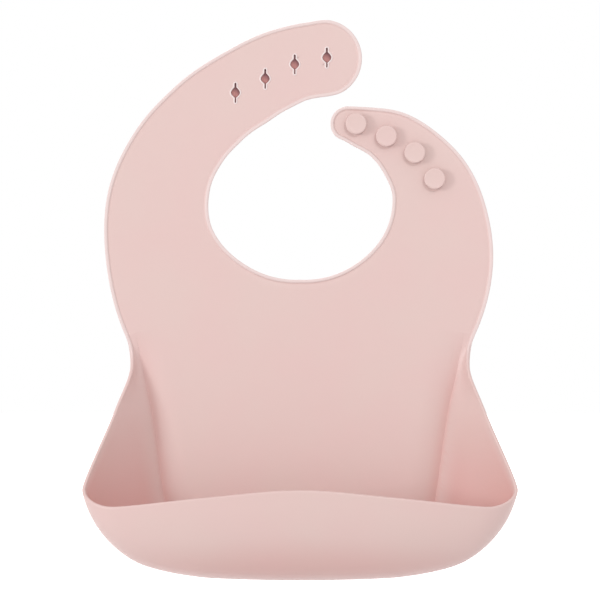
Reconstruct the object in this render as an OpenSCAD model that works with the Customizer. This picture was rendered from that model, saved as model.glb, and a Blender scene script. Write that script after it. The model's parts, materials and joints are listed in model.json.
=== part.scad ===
// Silicone feeding bib. One soft moulding: a flat chest panel, two arms that
// close behind the neck with studs and slit holes, and a scoop pocket that
// stands open at the bottom. It is split into nodes where the sheet bends.
// Origin: centre of the neck opening, on the back face. +Z up, front is -Y.

/* [Sheet] */
// Thickness of the moulded sheet
sheet_t = 1.8; // [1.4:0.1:2.6]
// Height of the raised bead on the front of every free edge
bead_h = 0.6; // [0.3:0.1:1]
// Width of the raised bead
bead_w = 2; // [1:0.5:3]

/* [Neck opening] */
// Radius of the neck opening, at its sides
neck_r = 50; // [42:1:60]

/* [Arms] */
// Width of the arm with the holes, halfway round the neck
hole_arm_w = 44; // [36:1:54]
// Width of the arm with the studs, where it leaves the shoulder
stud_arm_w = 50; // [42:1:60]
// Width of the arm with the studs, at its rounded tip
stud_tip_w = 17.5; // [15:0.5:24]

/* [Chest panel] */
// Width across the shoulders
shoulder_w = 208; // [180:2:250]
// Width at the waist, where the pocket's side walls begin
waist_w = 187; // [160:1:224]
// Drop of the waist below the neck's centre
waist_drop = 78; // [72:1:92]
// Drop of the panel's bending line below the neck's centre
bend_drop = 60; // [56:1:66]
// Drop of the pocket's fold below the neck's centre
fold_drop = 182; // [170:1:220]

/* [Pocket] */
// Width across the pocket's mouth
mouth_w = 226; // [200:2:272]
// How far the middle of the lip stands in front of the panel
lip_out = 56; // [46:1:68]
// Height of the middle of the lip above the fold
lip_rise = 25; // [18:1:34]
// Depth of the pocket's floor below the fold
floor_sag = 21; // [16:1:28]

/* [Fastening] */
// Distance between the middles of two studs, and of two holes
button_pitch = 17.6; // [15:0.2:20]
// Radius of a stud's stem
stem_r = 2; // [1.6:0.1:2.6]
// Length of a stud's stem
stem_l = 2.6; // [2.2:0.1:4]
// Radius of a stud's head
head_r = 5.6; // [4.6:0.1:6.4]
// Thickness of a stud's head
head_t = 2.2; // [1.6:0.1:3]
// Clearance between a stem and its hole, all round
hole_clearance = 0.25; // [0.1:0.05:0.5]
// Length of the slit that crosses a hole
slit_l = 10.5; // [8:0.5:13]
// Width of that slit
slit_w = 0.6; // [0.4:0.1:0.8]

/* [Hidden] */

silicone = [0.91, 0.79, 0.77];
silicone_deep = [0.84, 0.68, 0.66];
half_t = sheet_t / 2;
waist_hw = waist_w / 2;
mouth_hw = mouth_w / 2;
waist_r = norm([waist_hw, waist_drop]);
waist_a = atan2(waist_drop, waist_hw);

// Gaps: where a link turns in its neighbour, and where two pieces only meet
hinge_gap = 0.3;
seam_gap = 0.3;
// A link's knuckle is a little slimmer than the sheet
knuckle_r = half_t - 0.05;
// A round tip stands this far proud of the arm's edges, which it blends into
tip_proud = 0.2;
// The bead stops this far from a bending line
bead_stop = 1.5;

// Angles round the neck, up from its side: where each arm first bends, where
// its round tip begins, and its first button
hole_root_a = -5;
hole_middle_a = 28;
hole_end_a = 100;
hole_first_a = 101.5;
stud_root_a = -12;
stud_end_a = 54;
stud_first_a = 49.6;
// Angle over which an arm's outer edge runs straight into its round tip, for
// the arm with the holes and for the one with the studs; a link with no tip
hole_tip = 0;
stud_tip = 10;
no_tip = -1;

// ---- smooth curves through a few points -------------------------------
// Each key is [place, value, ...]. A curve passes through every key and
// keeps flats flat, so a stretch between two equal values is straight.
function rise(k, i, c) = (k[i + 1][c] - k[i][c]) / (k[i + 1][0] - k[i][0]);
function lean(k, i, c) =
  i == 0 ? 1.5 * rise(k, 0, c) - 0.5 * lean(k, 1, c) :
  i == len(k) - 1 ? 1.5 * rise(k, i - 1, c) - 0.5 * lean(k, i - 1, c) :
  let (p = rise(k, i - 1, c), q = rise(k, i, c))
  p * q <= 0 ? 0 : 2 * p * q / (p + q);
function ease(a, b, la, lb, t) =
  a * (1 + 2 * t) * (1 - t) * (1 - t) + b * t * t * (3 - 2 * t)
  + la * t * (1 - t) * (1 - t) - lb * t * t * (1 - t);
function at(k, a, c = 1, i = 0) =
  i < len(k) - 2 && a > k[i + 1][0] ? at(k, a, c, i + 1) :
  let (h = k[i + 1][0] - k[i][0])
  ease(k[i][c], k[i + 1][c], h * lean(k, i, c), h * lean(k, i + 1, c), (a - k[i][0]) / h);

// ---- the flat sheet's outline, as radii round the neck ------------------
// Where the pocket's wall takes over from the flat edge, at the waist, the
// sheet is cut square to its edge; this is the point m in along that cut
cut_slope = 14;
function cut_point(m) = [waist_hw - m * cos(cut_slope), m * sin(cut_slope) - waist_drop];
// Angles below run up from the bottom of the neck opening (-90) over the
// side of the arm to its tip, and are mirrored for the arm with the holes.
HOLE_IN = [[-90, neck_r - 2], [-55, neck_r - 0.5], [-25, neck_r + 1.3], [0, neck_r - 1.8],
  [20, neck_r - 6], [40, neck_r - 9.2], [60, neck_r - 10], [80, neck_r - 6.7],
  [102, neck_r + 1.8]];
STUD_IN = [[-90, neck_r - 2], [-55, neck_r - 0.5], [-25, neck_r + 0.8], [-5, neck_r - 0.3],
  [10, neck_r - 4], [25, neck_r - 8], [40, neck_r - 13.2], [55, neck_r - 15.6]];
HOLE_OUT = [[-waist_a, waist_r], [-20, shoulder_w / 2 + 6.5], [0, neck_r + hole_arm_w + 8.5],
  [20, neck_r + hole_arm_w - 0.5], [40, neck_r + hole_arm_w - 7.3],
  [60, neck_r + hole_arm_w - 10], [80, neck_r + hole_arm_w - 7.3],
  [102, neck_r + hole_arm_w - 1.4]];
STUD_OUT = [[-waist_a, waist_r], [-20, shoulder_w / 2 + 6], [-8, neck_r + stud_arm_w + 1.8],
  [8, neck_r + stud_arm_w - 9], [22, neck_r + stud_arm_w - 20],
  [38, neck_r + stud_arm_w - 32], [55, neck_r - 15.6 + stud_tip_w]];

function polar(r, a) = r * [cos(a), sin(a)];
function mirrored(p) = [-p[0], p[1]];
function sweep(a, b) = let (n = ceil(abs(b - a) / 3)) [for (i = [0:n]) a + (b - a) * i / n];
function mid_r(inner, outer, a) = (at(inner, a) + at(outer, a)) / 2;

// Arc of an edge between two angles, moved inwards into the sheet by m
function inner_edge(inner, a, b, m) = [for (t = sweep(a, b)) polar(at(inner, t) + m, t)];
function outer_edge(outer, a, b, m) = [for (t = sweep(a, b)) polar(at(outer, t) - m, t)];

// Buttons lie one pitch apart, counted from the tip, on a line that wanders a
// little either side of the arm's middle: [angle, shift outwards]
HOLE_LINE = [[40, 0], [56, 0.3], [73, -1.2], [88, 0.2], [102, 0.2]];
STUD_LINE = [[-15, 0], [5, 1.7], [18, 0.8], [31, -1.9], [49, 0], [55, 0]];
function row_point(arm, a) = polar(mid_r(arm[0], arm[1], a) + at(arm[2], a), a);
function walk(arm, a, rest) =
  let (d = norm(row_point(arm, a) - row_point(arm, a - 1)))
  rest <= d ? a - rest / d : walk(arm, a - 1, rest - d);
hole_row = [HOLE_IN, HOLE_OUT, HOLE_LINE];
stud_row = [STUD_IN, STUD_OUT, STUD_LINE];
function hole_a(i) = walk(hole_row, hole_first_a, i * button_pitch);
function stud_a(i) = walk(stud_row, stud_first_a, i * button_pitch);
function hole_at(i) = mirrored(row_point(hole_row, hole_a(i)));
function stud_at(i) = row_point(stud_row, stud_a(i));

// Angles of each arm's bending lines: the ones among its buttons lie halfway
// between two of them
hole_bend_a = [hole_root_a, hole_middle_a, hole_a(2.5)];
stud_bend_a = [stud_root_a, stud_a(2.5), stud_a(1.5)];

// Distance of the chest's outer edge from the middle, at a drop below the neck
function chest_reach(drop, a) =
  at(STUD_OUT, -a) * sin(a) >= drop ? at(STUD_OUT, -a) * cos(a) : chest_reach(drop, a + 0.5);

// ---- the pocket's four rails -------------------------------------------
// Stations run from the waist (0) down the side, round the corner (4) to
// the middle of the front (6); station 7 mirrors 5. Each row is
// [station, x, y, z]: A lies on the panel, B is the crease that the wall
// turns about, C the belly, L the lip.
corner_drop = fold_drop - lip_rise;
// At the waist all four lie on the cut across the edge.
RAIL_A = [[0, cut_point(10)[0], 0, cut_point(10)[1]], [1, waist_hw - 13.5, 0, -waist_drop - 17],
  [2, waist_hw - 19, 0, -waist_drop - 41], [3, waist_hw - 28, 0, -fold_drop + 22],
  [4, waist_hw - 36, 0, -fold_drop + 3], [4.6, waist_hw - 47, 0, -fold_drop],
  [5, waist_hw - 62, 0, -fold_drop], [6, 0, 0, -fold_drop], [7, -waist_hw + 62, 0, -fold_drop]];
RAIL_B = [[0, cut_point(6)[0], 0, cut_point(6)[1]], [1, waist_hw - 9, 0, -waist_drop - 18],
  [2, waist_hw - 14, 0, -waist_drop - 42], [3, waist_hw - 21, 0, -fold_drop + 14],
  [4, waist_hw - 28, 0, -fold_drop - 0.7 * floor_sag], [5, waist_hw - 49, 0, -fold_drop - 1.15 * floor_sag],
  [6, 0, 0, -fold_drop - 1.2 * floor_sag], [7, -waist_hw + 49, 0, -fold_drop - 1.15 * floor_sag]];
RAIL_C = [[0, cut_point(3)[0], 0, cut_point(3)[1]], [1, waist_hw - 5, -2, -waist_drop - 18],
  [2, waist_hw - 3, -10, -waist_drop - 42], [3, mouth_hw - 5, -0.54 * lip_out, -fold_drop + 2],
  [4, mouth_hw - 22, -0.76 * lip_out, -fold_drop - 0.8 * floor_sag],
  [5, mouth_hw - 68, -0.89 * lip_out, -fold_drop - floor_sag],
  [6, 0, -0.91 * lip_out, -fold_drop - 1.05 * floor_sag],
  [7, 68 - mouth_hw, -0.89 * lip_out, -fold_drop - floor_sag]];
RAIL_L = [[0, waist_hw, 0, -waist_drop], [1, waist_hw - 3.5, -5.5, -waist_drop - 16],
  [2, waist_hw + 4.5, -19, -waist_drop - 40], [3, mouth_hw, -0.68 * lip_out, -corner_drop],
  [4, mouth_hw - 15, -0.88 * lip_out, -corner_drop - 9],
  [5, mouth_hw - 63, -0.98 * lip_out, -corner_drop - 4], [6, 0, -lip_out, -corner_drop],
  [7, 63 - mouth_hw, -0.98 * lip_out, -corner_drop - 4]];
// The gussets end and the front begins at this station
front_s = 4.6;
fold_w = 2 * at(RAIL_A, front_s);
// Width of the panel at its bending line
bend_w = 2 * chest_reach(bend_drop, 0);

function rail(k, s) = [at(k, s, 1), at(k, s, 2) - half_t, at(k, s, 3)];
function arch(p, q, r, t) = p * (1 - t) * (1 - t) + q * 2 * t * (1 - t) + r * t * t;
function along(p, q, t) = p + (q - p) * t;
// Length of the two legs that the wall turns about B in: a tight crease down
// the sides, opening into a round scoop past the corner
CREASE = [[0, 2], [2, 2.4], [3, 3], [3.6, 7], [4.6, 40], [6, 60], [7, 60]];
function leg_share(s, p, q, most) = min(at(CREASE, s) / norm(q - p), most);
// Middle of the wall: flat from A to the crease, an arc past B, flat to the
// middle of B and C, and a parabola past C to the lip
CREASE_V = [1 / 14, 5 / 14];
function wall(s, v) =
  let (a = rail(RAIL_A, s), b = rail(RAIL_B, s), c = rail(RAIL_C, s), l = rail(RAIL_L, s),
    m = (b + c) / 2, v1 = CREASE_V[0], v2 = CREASE_V[1],
    p = along(b, a, leg_share(s, a, b, 0.9)), q = along(b, c, leg_share(s, b, c, 0.45)))
  v < v1 ? along(a, p, v / v1)
    : v < v2 ? arch(p, b, q, (v - v1) / (v2 - v1))
    : v < 0.5 ? along(q, m, (v - v2) / (0.5 - v2)) : arch(m, c, l, 2 * v - 1);
// Unit vector that points into the pocket
function wall_normal(s, v) =
  let (d = 0.01, v0 = min(v, 1 - d), s0 = max(s - d, 0),
    n = cross(wall(s0 + 2 * d, v) - wall(s0, v), wall(s, v0 + d) - wall(s, v0)))
  n / norm(n);
function station_x(p, s) = s > 6 ? [-p[0], p[1], p[2]] : p;
function over(s) = s > 6 ? 12 - s : s;
// A point of the wall, out from its middle by d; stations past 6 are on the other side
function skin(s, v, d) = station_x(wall(over(s), v) + d * wall_normal(over(s), v), s);
// Where the wall leaves the panel's cut edge, one seam gap beyond rail A
function wall_start(s) =
  let (a = rail(RAIL_A, s), b = rail(RAIL_B, s))
  seam_gap * CREASE_V[0] / (norm(b - a) * (1 - leg_share(s, a, b, 0.9)));

// ---- building blocks ----------------------------------------------------
// A flat piece of the sheet from its outline, drawn in x and z
module sheet() {
  rotate([90, 0, 0]) linear_extrude(sheet_t) children();
}
module bead() {
  rotate([90, 0, 0]) translate([0, 0, sheet_t]) linear_extrude(bead_h) children();
}
// Puts a child that lies along +X onto a radial line, in the sheet's middle
module on_radius(a) {
  translate([0, -half_t, 0]) rotate([0, -a, 0]) children();
}
module knuckle(a, from_r, to_r, r) {
  on_radius(a) translate([from_r, 0, 0]) rotate([0, 90, 0]) cylinder(h = to_r - from_r, r = r, $fn = 48);
}
module link_knuckle(inner, outer, a) {
  knuckle(a, at(inner, a) + 0.5, at(outer, a) - 0.5, knuckle_r);
}
module bead_relief(a, to_r) {
  on_radius(a) translate([0, -half_t - bead_h - 1, -bead_stop]) cube([to_r, bead_h + 1, 2 * bead_stop]);
}
module on_hole_side() {
  mirror([1, 0, 0]) children();
}

// Outline of one link of an arm, m inside its free edges
module link_outline(inner, outer, a, b, m) {
  polygon(concat(outer_edge(outer, a, b, m), inner_edge(inner, b, a, m)));
}
function tip_centre(inner, outer, a) = polar(mid_r(inner, outer, a), a);
function tip_r(inner, outer, a) = (at(outer, a) - at(inner, a)) / 2 + tip_proud;
// Point where the line from p touches the circle round c, on its outer side
function touch(p, c, r) =
  let (turn = atan2(p[1] - c[1], p[0] - c[0]) + acos(r / norm(p - c))) c + polar(r, turn);
module tip_outline(inner, outer, a, m) {
  translate(tip_centre(inner, outer, a)) circle(r = tip_r(inner, outer, a) - m, $fn = 96);
}
// Fills in between the arm's outer edge, from angle a on, and the tip at b
module tip_blend(inner, outer, a, b, m) {
  p = polar(at(outer, a) - m, a);
  c = tip_centre(inner, outer, b);
  polygon([p, touch(p, c, tip_r(inner, outer, b) - m), c]);
}

// One link between two bending lines: it turns in a hollow at its root and
// ends in a half-round knuckle, or in a round tip
module arm_link(inner, outer, a, b, tip) {
  difference() {
    union() {
      sheet() link_and_tip(inner, outer, a, b, tip, 0);
      difference() {
        bead() difference() {
          link_and_tip(inner, outer, a, b, tip, 0);
          link_and_tip(inner, outer, a - 5, tip == no_tip ? b + 5 : b, tip, bead_w);
        }
        bead_relief(a, at(outer, a) + 5);
        if (tip == no_tip) bead_relief(b, at(outer, b) + 5);
      }
      if (tip == no_tip) link_knuckle(inner, outer, b);
    }
    knuckle(a, at(inner, a) - 5, at(outer, a) + 5, half_t + hinge_gap);
  }
}
module link_and_tip(inner, outer, a, b, tip, m) {
  link_outline(inner, outer, a, b, m);
  if (tip >= 0) tip_outline(inner, outer, b, m);
  if (tip > 0) tip_blend(inner, outer, b - tip, b, m);
}

module slit_hole(i) {
  p = hole_at(i);
  translate([p[0], 1, p[1]]) rotate([90, 0, 0]) cylinder(h = sheet_t + bead_h + 2, r = stem_r + hole_clearance, $fn = 48);
  translate([p[0] - slit_w / 2, -sheet_t - 1, p[1] - slit_l / 2]) cube([slit_w, sheet_t + 2, slit_l]);
}

// A mushroom stud: stem and bevelled head, turned about its own axis
module stud(i) {
  p = stud_at(i);
  bevel = 0.3 * head_t;
  color(silicone) translate([p[0], -sheet_t, p[1]]) rotate([90, 0, 0]) rotate_extrude($fn = 64)
    polygon([[0, 0], [stem_r, 0], [stem_r, stem_l], [head_r, stem_l],
      [head_r, stem_l + head_t - bevel], [head_r - bevel, stem_l + head_t], [0, stem_l + head_t]]);
}

// ---- the chest ------------------------------------------------------------
// The sheet between the two arms, down to the pocket, m inside its free edges
function rail_line(a, b) = [for (i = [0:40]) let (p = rail(RAIL_A, a + (b - a) * i / 40)) [p[0], p[2]]];
function flipped(points) = [for (p = points) mirrored(p)];
module chest_outline(m) {
  polygon(concat(
    outer_edge(STUD_OUT, stud_bend_a[0], 2 - waist_a, m),
    [cut_point(m)],
    rail_line(0, 6),
    flipped(rail_line(6, 0)),
    flipped([cut_point(m)]),
    flipped(outer_edge(HOLE_OUT, 2 - waist_a, hole_bend_a[0], m)),
    flipped(inner_edge(HOLE_IN, hole_bend_a[0], -90, m)),
    inner_edge(STUD_IN, -90, stud_bend_a[0], m)));
}
module chest_bead() {
  difference() {
    bead() difference() {
      chest_outline(0);
      chest_outline(bead_w);
    }
    translate([-shoulder_w, -sheet_t - bead_h - 1, -bend_drop - bead_stop])
      cube([2 * shoulder_w, bead_h + 1, 2 * bead_stop]);
  }
}
module cross_bar(drop, length, r) {
  translate([-length / 2, -half_t, -drop]) rotate([0, 90, 0]) cylinder(h = length, r = r, $fn = 48);
}
// All that is below a drop, or above it
module lower_part(drop) {
  translate([-shoulder_w, -fold_drop, -3 * fold_drop]) cube([2 * shoulder_w, 2 * fold_drop, 3 * fold_drop - drop]);
}
module upper_part(drop) {
  translate([-shoulder_w, -fold_drop, -drop]) cube([2 * shoulder_w, 2 * fold_drop, 3 * fold_drop]);
}

module neck_panel() {
  color(silicone) {
    difference() {
      union() {
        sheet() chest_outline(0);
        chest_bead();
      }
      lower_part(bend_drop);
      bead_relief(stud_bend_a[0], shoulder_w);
      on_hole_side() bead_relief(hole_bend_a[0], shoulder_w);
    }
    cross_bar(bend_drop, bend_w - 2, knuckle_r);
    link_knuckle(STUD_IN, STUD_OUT, stud_bend_a[0]);
    on_hole_side() link_knuckle(HOLE_IN, HOLE_OUT, hole_bend_a[0]);
  }
}

module lower_panel() {
  color(silicone) difference() {
    union() {
      sheet() chest_outline(0);
      chest_bead();
    }
    upper_part(bend_drop);
    cross_bar(bend_drop, 2 * shoulder_w, half_t + hinge_gap);
    cross_bar(fold_drop, fold_w + 2 * seam_gap, half_t + hinge_gap);
  }
}

// ---- the pocket -----------------------------------------------------------
// A closed shell between two stations, from where it leaves the panel to the lip
module wall_shell(s_from, s_to, steps, rows, gap) {
  cols = rows + 1;
  function v_at(s, j) = let (v0 = gap ? wall_start(over(s)) : 0) v0 + (1 - v0) * j / rows;
  function side(d) = [for (i = [0:steps]) let (s = s_from + (s_to - s_from) * i / steps)
    for (j = [0:rows]) skin(s, v_at(s, j), d)];
  function spot(i, j, back) = i * cols + j + (back ? (steps + 1) * cols : 0);
  inside = [for (i = [0:steps - 1]) for (j = [0:rows - 1])
    [spot(i, j, false), spot(i, j + 1, false), spot(i + 1, j + 1, false), spot(i + 1, j, false)]];
  outside = [for (i = [0:steps - 1]) for (j = [0:rows - 1])
    [spot(i, j, true), spot(i + 1, j, true), spot(i + 1, j + 1, true), spot(i, j + 1, true)]];
  ends = [for (j = [0:rows - 1]) each [
    [spot(0, j, false), spot(0, j, true), spot(0, j + 1, true), spot(0, j + 1, false)],
    [spot(steps, j, false), spot(steps, j + 1, false), spot(steps, j + 1, true), spot(steps, j, true)]]];
  edges = [for (i = [0:steps - 1]) each [
    [spot(i, 0, false), spot(i + 1, 0, false), spot(i + 1, 0, true), spot(i, 0, true)],
    [spot(i, rows, false), spot(i, rows, true), spot(i + 1, rows, true), spot(i + 1, rows, false)]]];
  polyhedron(concat(side(half_t), side(-half_t)), concat(inside, outside, ends, edges), convexity = 6);
}
module gusset() {
  color(silicone_deep) wall_shell(0.03, front_s - 0.02, 40, 14, true);
}
module right_gusset() {
  gusset();
}
module left_gusset() {
  mirror([1, 0, 0]) gusset();
}
module pocket_front() {
  color(silicone) {
    wall_shell(front_s, 12 - front_s, 40, 14, false);
    cross_bar(fold_drop, fold_w, knuckle_r);
  }
}

// ---- the arms ---------------------------------------------------------------
module hole_link(a, b, tip, holes) {
  color(silicone) difference() {
    on_hole_side() arm_link(HOLE_IN, HOLE_OUT, a, b, tip);
    for (i = holes) slit_hole(i);
  }
}
module hole_arm_root() {
  hole_link(hole_bend_a[0], hole_bend_a[1], no_tip, []);
}
module hole_arm_middle() {
  hole_link(hole_bend_a[1], hole_bend_a[2], no_tip, [3]);
}
module hole_arm_tip() {
  hole_link(hole_bend_a[2], hole_end_a, hole_tip, [0, 1, 2]);
}
module stud_link(a, b, tip) {
  color(silicone) arm_link(STUD_IN, STUD_OUT, a, b, tip);
}
module stud_arm_root() {
  stud_link(stud_bend_a[0], stud_bend_a[1], no_tip);
}
module stud_arm_middle() {
  stud_link(stud_bend_a[1], stud_bend_a[2], no_tip);
}
module stud_arm_tip() {
  stud_link(stud_bend_a[2], stud_end_a, stud_tip);
}

neck_panel();
lower_panel();
left_gusset();
right_gusset();
pocket_front();
hole_arm_root();
hole_arm_middle();
hole_arm_tip();
stud_arm_root();
stud_arm_middle();
stud_arm_tip();
stud(0);  // stud_1
stud(1);  // stud_2
stud(2);  // stud_3
stud(3);  // stud_4
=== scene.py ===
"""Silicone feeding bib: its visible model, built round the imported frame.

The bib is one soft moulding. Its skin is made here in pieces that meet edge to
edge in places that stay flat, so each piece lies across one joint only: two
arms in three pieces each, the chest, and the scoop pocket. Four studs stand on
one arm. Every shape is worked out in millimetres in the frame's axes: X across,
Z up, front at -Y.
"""
import json
import math

import bmesh
import bpy
import numpy as np
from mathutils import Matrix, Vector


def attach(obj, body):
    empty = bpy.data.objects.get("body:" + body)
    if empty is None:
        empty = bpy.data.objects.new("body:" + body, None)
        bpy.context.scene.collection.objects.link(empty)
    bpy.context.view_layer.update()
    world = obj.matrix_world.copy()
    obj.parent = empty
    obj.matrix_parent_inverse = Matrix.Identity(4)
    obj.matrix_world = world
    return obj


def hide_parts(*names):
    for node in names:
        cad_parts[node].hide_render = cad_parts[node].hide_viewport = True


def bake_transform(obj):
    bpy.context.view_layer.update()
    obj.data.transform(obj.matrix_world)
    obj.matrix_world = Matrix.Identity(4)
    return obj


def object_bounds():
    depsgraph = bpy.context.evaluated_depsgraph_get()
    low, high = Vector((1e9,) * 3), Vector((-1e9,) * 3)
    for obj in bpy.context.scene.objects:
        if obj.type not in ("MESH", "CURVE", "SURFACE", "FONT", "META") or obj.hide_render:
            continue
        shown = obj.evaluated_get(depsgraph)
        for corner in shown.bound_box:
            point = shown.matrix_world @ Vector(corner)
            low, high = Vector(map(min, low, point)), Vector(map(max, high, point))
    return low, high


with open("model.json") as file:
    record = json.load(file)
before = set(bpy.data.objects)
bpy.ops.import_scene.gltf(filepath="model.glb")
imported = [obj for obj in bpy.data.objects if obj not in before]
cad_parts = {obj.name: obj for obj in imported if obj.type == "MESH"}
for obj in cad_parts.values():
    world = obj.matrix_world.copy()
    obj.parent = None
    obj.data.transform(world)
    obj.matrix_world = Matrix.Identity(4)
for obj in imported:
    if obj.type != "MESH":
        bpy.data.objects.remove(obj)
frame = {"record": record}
cad_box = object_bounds()
record = frame["record"]

MM = 0.001

# ---------------------------------------------------------------- dimensions
mounts = {m["name"]: m for m in record["mounts"]}
joints = {j["name"]: j for j in record["behaviour"]["joints"]}
HOLE_JOINTS = ["hole_arm_bend", "hole_arm_bend_middle", "hole_arm_bend_tip"]
STUD_JOINTS = ["stud_arm_bend", "stud_arm_bend_middle", "stud_arm_bend_tip"]


def joint_place(name):
    """A joint's place in millimetres."""
    return np.array(joints[name]["pos_m"]) / MM


def mount_place(name):
    """A mount's x and z in millimetres."""
    x, _, z = np.array(mounts[name]["pos_m"]) / MM
    return np.array([x, z])


def bend_angle(name):
    """The angle of an arm's bending line, up from the side of the neck."""
    x, _, z = joint_place(name)
    return math.degrees(math.atan2(z, abs(x)))


neck_r = mounts["neck_opening"]["dims"]["r_mm"]
half_t = -joint_place("panel_bend")[1]
sheet_t = 2 * half_t
fold_drop = -joint_place("pocket_fold")[2]
stem_r = mounts["button_stud_1"]["dims"]["r_mm"]
stem_l = mounts["button_stud_1"]["dims"]["length_mm"]
hole_places = [mount_place(f"button_hole_{i}") for i in (1, 2, 3, 4)]
stud_places = [mount_place(f"button_stud_{i}") for i in (1, 2, 3, 4)]

hole_arm_w = 44.0
stud_arm_w = 50.0
stud_tip_w = 17.5
shoulder_w = 208.0
waist_hw = 93.5
waist_drop = 78.0
mouth_hw = 113.0
lip_out = 56.0
lip_rise = 25.0
floor_sag = 21.0
cut_slope = 14.0
strip_w = 10.0
tip_proud = 0.2

bead_h = 0.6
bead_zone = 3.0
front_round = 0.55
back_round = 0.45
head_r = 5.6
head_t = 2.2
slit_l = 10.5
lip_height = 0.05
lip_round = 0.85

waist_a = math.degrees(math.atan2(waist_drop, waist_hw))
waist_r = math.hypot(waist_drop, waist_hw)
corner_drop = fold_drop - lip_rise


# ------------------------------------------------------------- smooth curves
def slopes(keys):
    """Slope of a keyed curve at each key: the harmonic mean of the rises on
    its two sides, or none where they turn; the ends carry on as parabolas."""
    rise = np.diff(keys[:, 1:], axis=0) / np.diff(keys[:, 0])[:, None]
    p, q = rise[:-1], rise[1:]
    same = p * q > 0
    inner = np.where(same, 2 * p * q / np.where(same, p + q, 1), 0)
    return np.vstack([1.5 * rise[0] - 0.5 * inner[0], inner, 1.5 * rise[-1] - 0.5 * inner[-1]])


def at(keys, where):
    """Values of a keyed curve, [place, value, value...] a row: between two keys
    it is the cubic that leaves and reaches them with their slopes."""
    keys = np.array(keys, float)
    where = np.atleast_1d(np.asarray(where, float))
    lean = slopes(keys)
    i = np.clip(np.searchsorted(keys[:, 0], where) - 1, 0, len(keys) - 2)
    step = (keys[i + 1, 0] - keys[i, 0])[:, None]
    t = (where - keys[i, 0])[:, None] / step
    s = 1 - t
    return (keys[i, 1:] * (1 + 2 * t) * s * s + keys[i + 1, 1:] * t * t * (3 - 2 * t)
            + step * (lean[i] * t * s * s - lean[i + 1] * t * t * s))


def smoothstep(t):
    """0 to 1 with level ends: three t squared less two t cubed."""
    t = np.clip(t, 0, 1)
    return t * t * (3 - 2 * t)


def unit(v):
    """Vectors made one long, along the last axis."""
    return v / np.linalg.norm(v, axis=-1, keepdims=True)


def turned(v):
    """Flat vectors turned a quarter turn to the left."""
    return np.stack([-v[..., 1], v[..., 0]], axis=-1)


def lerp(a, b, t):
    """The point that is the fraction t of the way from a to b."""
    return a + (b - a) * t


# ---------------------------------------------------------- the flat outline
# Radii of the sheet's edges round the neck, by the angle up from its side.
# The arm with the holes is drawn on the right here, and mirrored when made.
HOLE_IN = [[-90, neck_r - 2], [-55, neck_r - 0.5], [-25, neck_r + 1.3], [0, neck_r - 1.8],
           [20, neck_r - 6], [40, neck_r - 9.2], [60, neck_r - 10], [80, neck_r - 6.7],
           [102, neck_r + 1.8]]
STUD_IN = [[-90, neck_r - 2], [-55, neck_r - 0.5], [-25, neck_r + 0.8], [-5, neck_r - 0.3],
           [10, neck_r - 4], [25, neck_r - 8], [40, neck_r - 13.2], [55, neck_r - 15.6]]
HOLE_OUT = [[-waist_a, waist_r], [-20, shoulder_w / 2 + 6.5], [0, neck_r + hole_arm_w + 8.5],
            [20, neck_r + hole_arm_w - 0.5], [40, neck_r + hole_arm_w - 7.3],
            [60, neck_r + hole_arm_w - 10], [80, neck_r + hole_arm_w - 7.3],
            [102, neck_r + hole_arm_w - 1.4]]
STUD_OUT = [[-waist_a, waist_r], [-20, shoulder_w / 2 + 6], [-8, neck_r + stud_arm_w + 1.8],
            [8, neck_r + stud_arm_w - 9], [22, neck_r + stud_arm_w - 20],
            [38, neck_r + stud_arm_w - 32], [55, neck_r - 15.6 + stud_tip_w]]


def on_ring(keys, angles):
    """Points of an edge: its radius at each angle, laid out at that angle."""
    a = np.radians(np.atleast_1d(angles))
    return at(keys, angles) * np.stack([np.cos(a), np.sin(a)], axis=-1)


CUT = np.array([-math.cos(math.radians(cut_slope)), math.sin(math.radians(cut_slope))])


def cut_point(m):
    """The point m in from the waist, along the cut square to the edge."""
    return np.array([waist_hw, -waist_drop]) + m * CUT


# ----------------------------------------------------------- pocket's rails
# Stations run from the waist (0) round the corner (4) to the middle of the
# front (6); 7 mirrors 5. A lies on the panel, B is the crease that the wall
# turns about, C the belly and L the lip.
def rail_start(m):
    """A rail's first key: the point m in from the waist, along the cut."""
    x, z = cut_point(m)
    return [0, x, 0, z]


RAIL_A = [rail_start(10), [1, waist_hw - 13.5, 0, -waist_drop - 17],
          [2, waist_hw - 19, 0, -waist_drop - 41], [3, waist_hw - 28, 0, -fold_drop + 22],
          [4, waist_hw - 36, 0, -fold_drop + 3], [4.6, waist_hw - 47, 0, -fold_drop],
          [5, waist_hw - 62, 0, -fold_drop], [6, 0, 0, -fold_drop],
          [7, -waist_hw + 62, 0, -fold_drop]]
RAIL_B = [rail_start(6), [1, waist_hw - 9, 0, -waist_drop - 18],
          [2, waist_hw - 14, 0, -waist_drop - 42], [3, waist_hw - 21, 0, -fold_drop + 14],
          [4, waist_hw - 28, 0, -fold_drop - 0.7 * floor_sag],
          [5, waist_hw - 49, 0, -fold_drop - 1.15 * floor_sag],
          [6, 0, 0, -fold_drop - 1.2 * floor_sag],
          [7, -waist_hw + 49, 0, -fold_drop - 1.15 * floor_sag]]
RAIL_C = [rail_start(3), [1, waist_hw - 5, -2, -waist_drop - 18],
          [2, waist_hw - 3, -10, -waist_drop - 42],
          [3, mouth_hw - 5, -0.54 * lip_out, -fold_drop + 2],
          [4, mouth_hw - 22, -0.76 * lip_out, -fold_drop - 0.8 * floor_sag],
          [5, mouth_hw - 68, -0.89 * lip_out, -fold_drop - floor_sag],
          [6, 0, -0.91 * lip_out, -fold_drop - 1.05 * floor_sag],
          [7, 68 - mouth_hw, -0.89 * lip_out, -fold_drop - floor_sag]]
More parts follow.
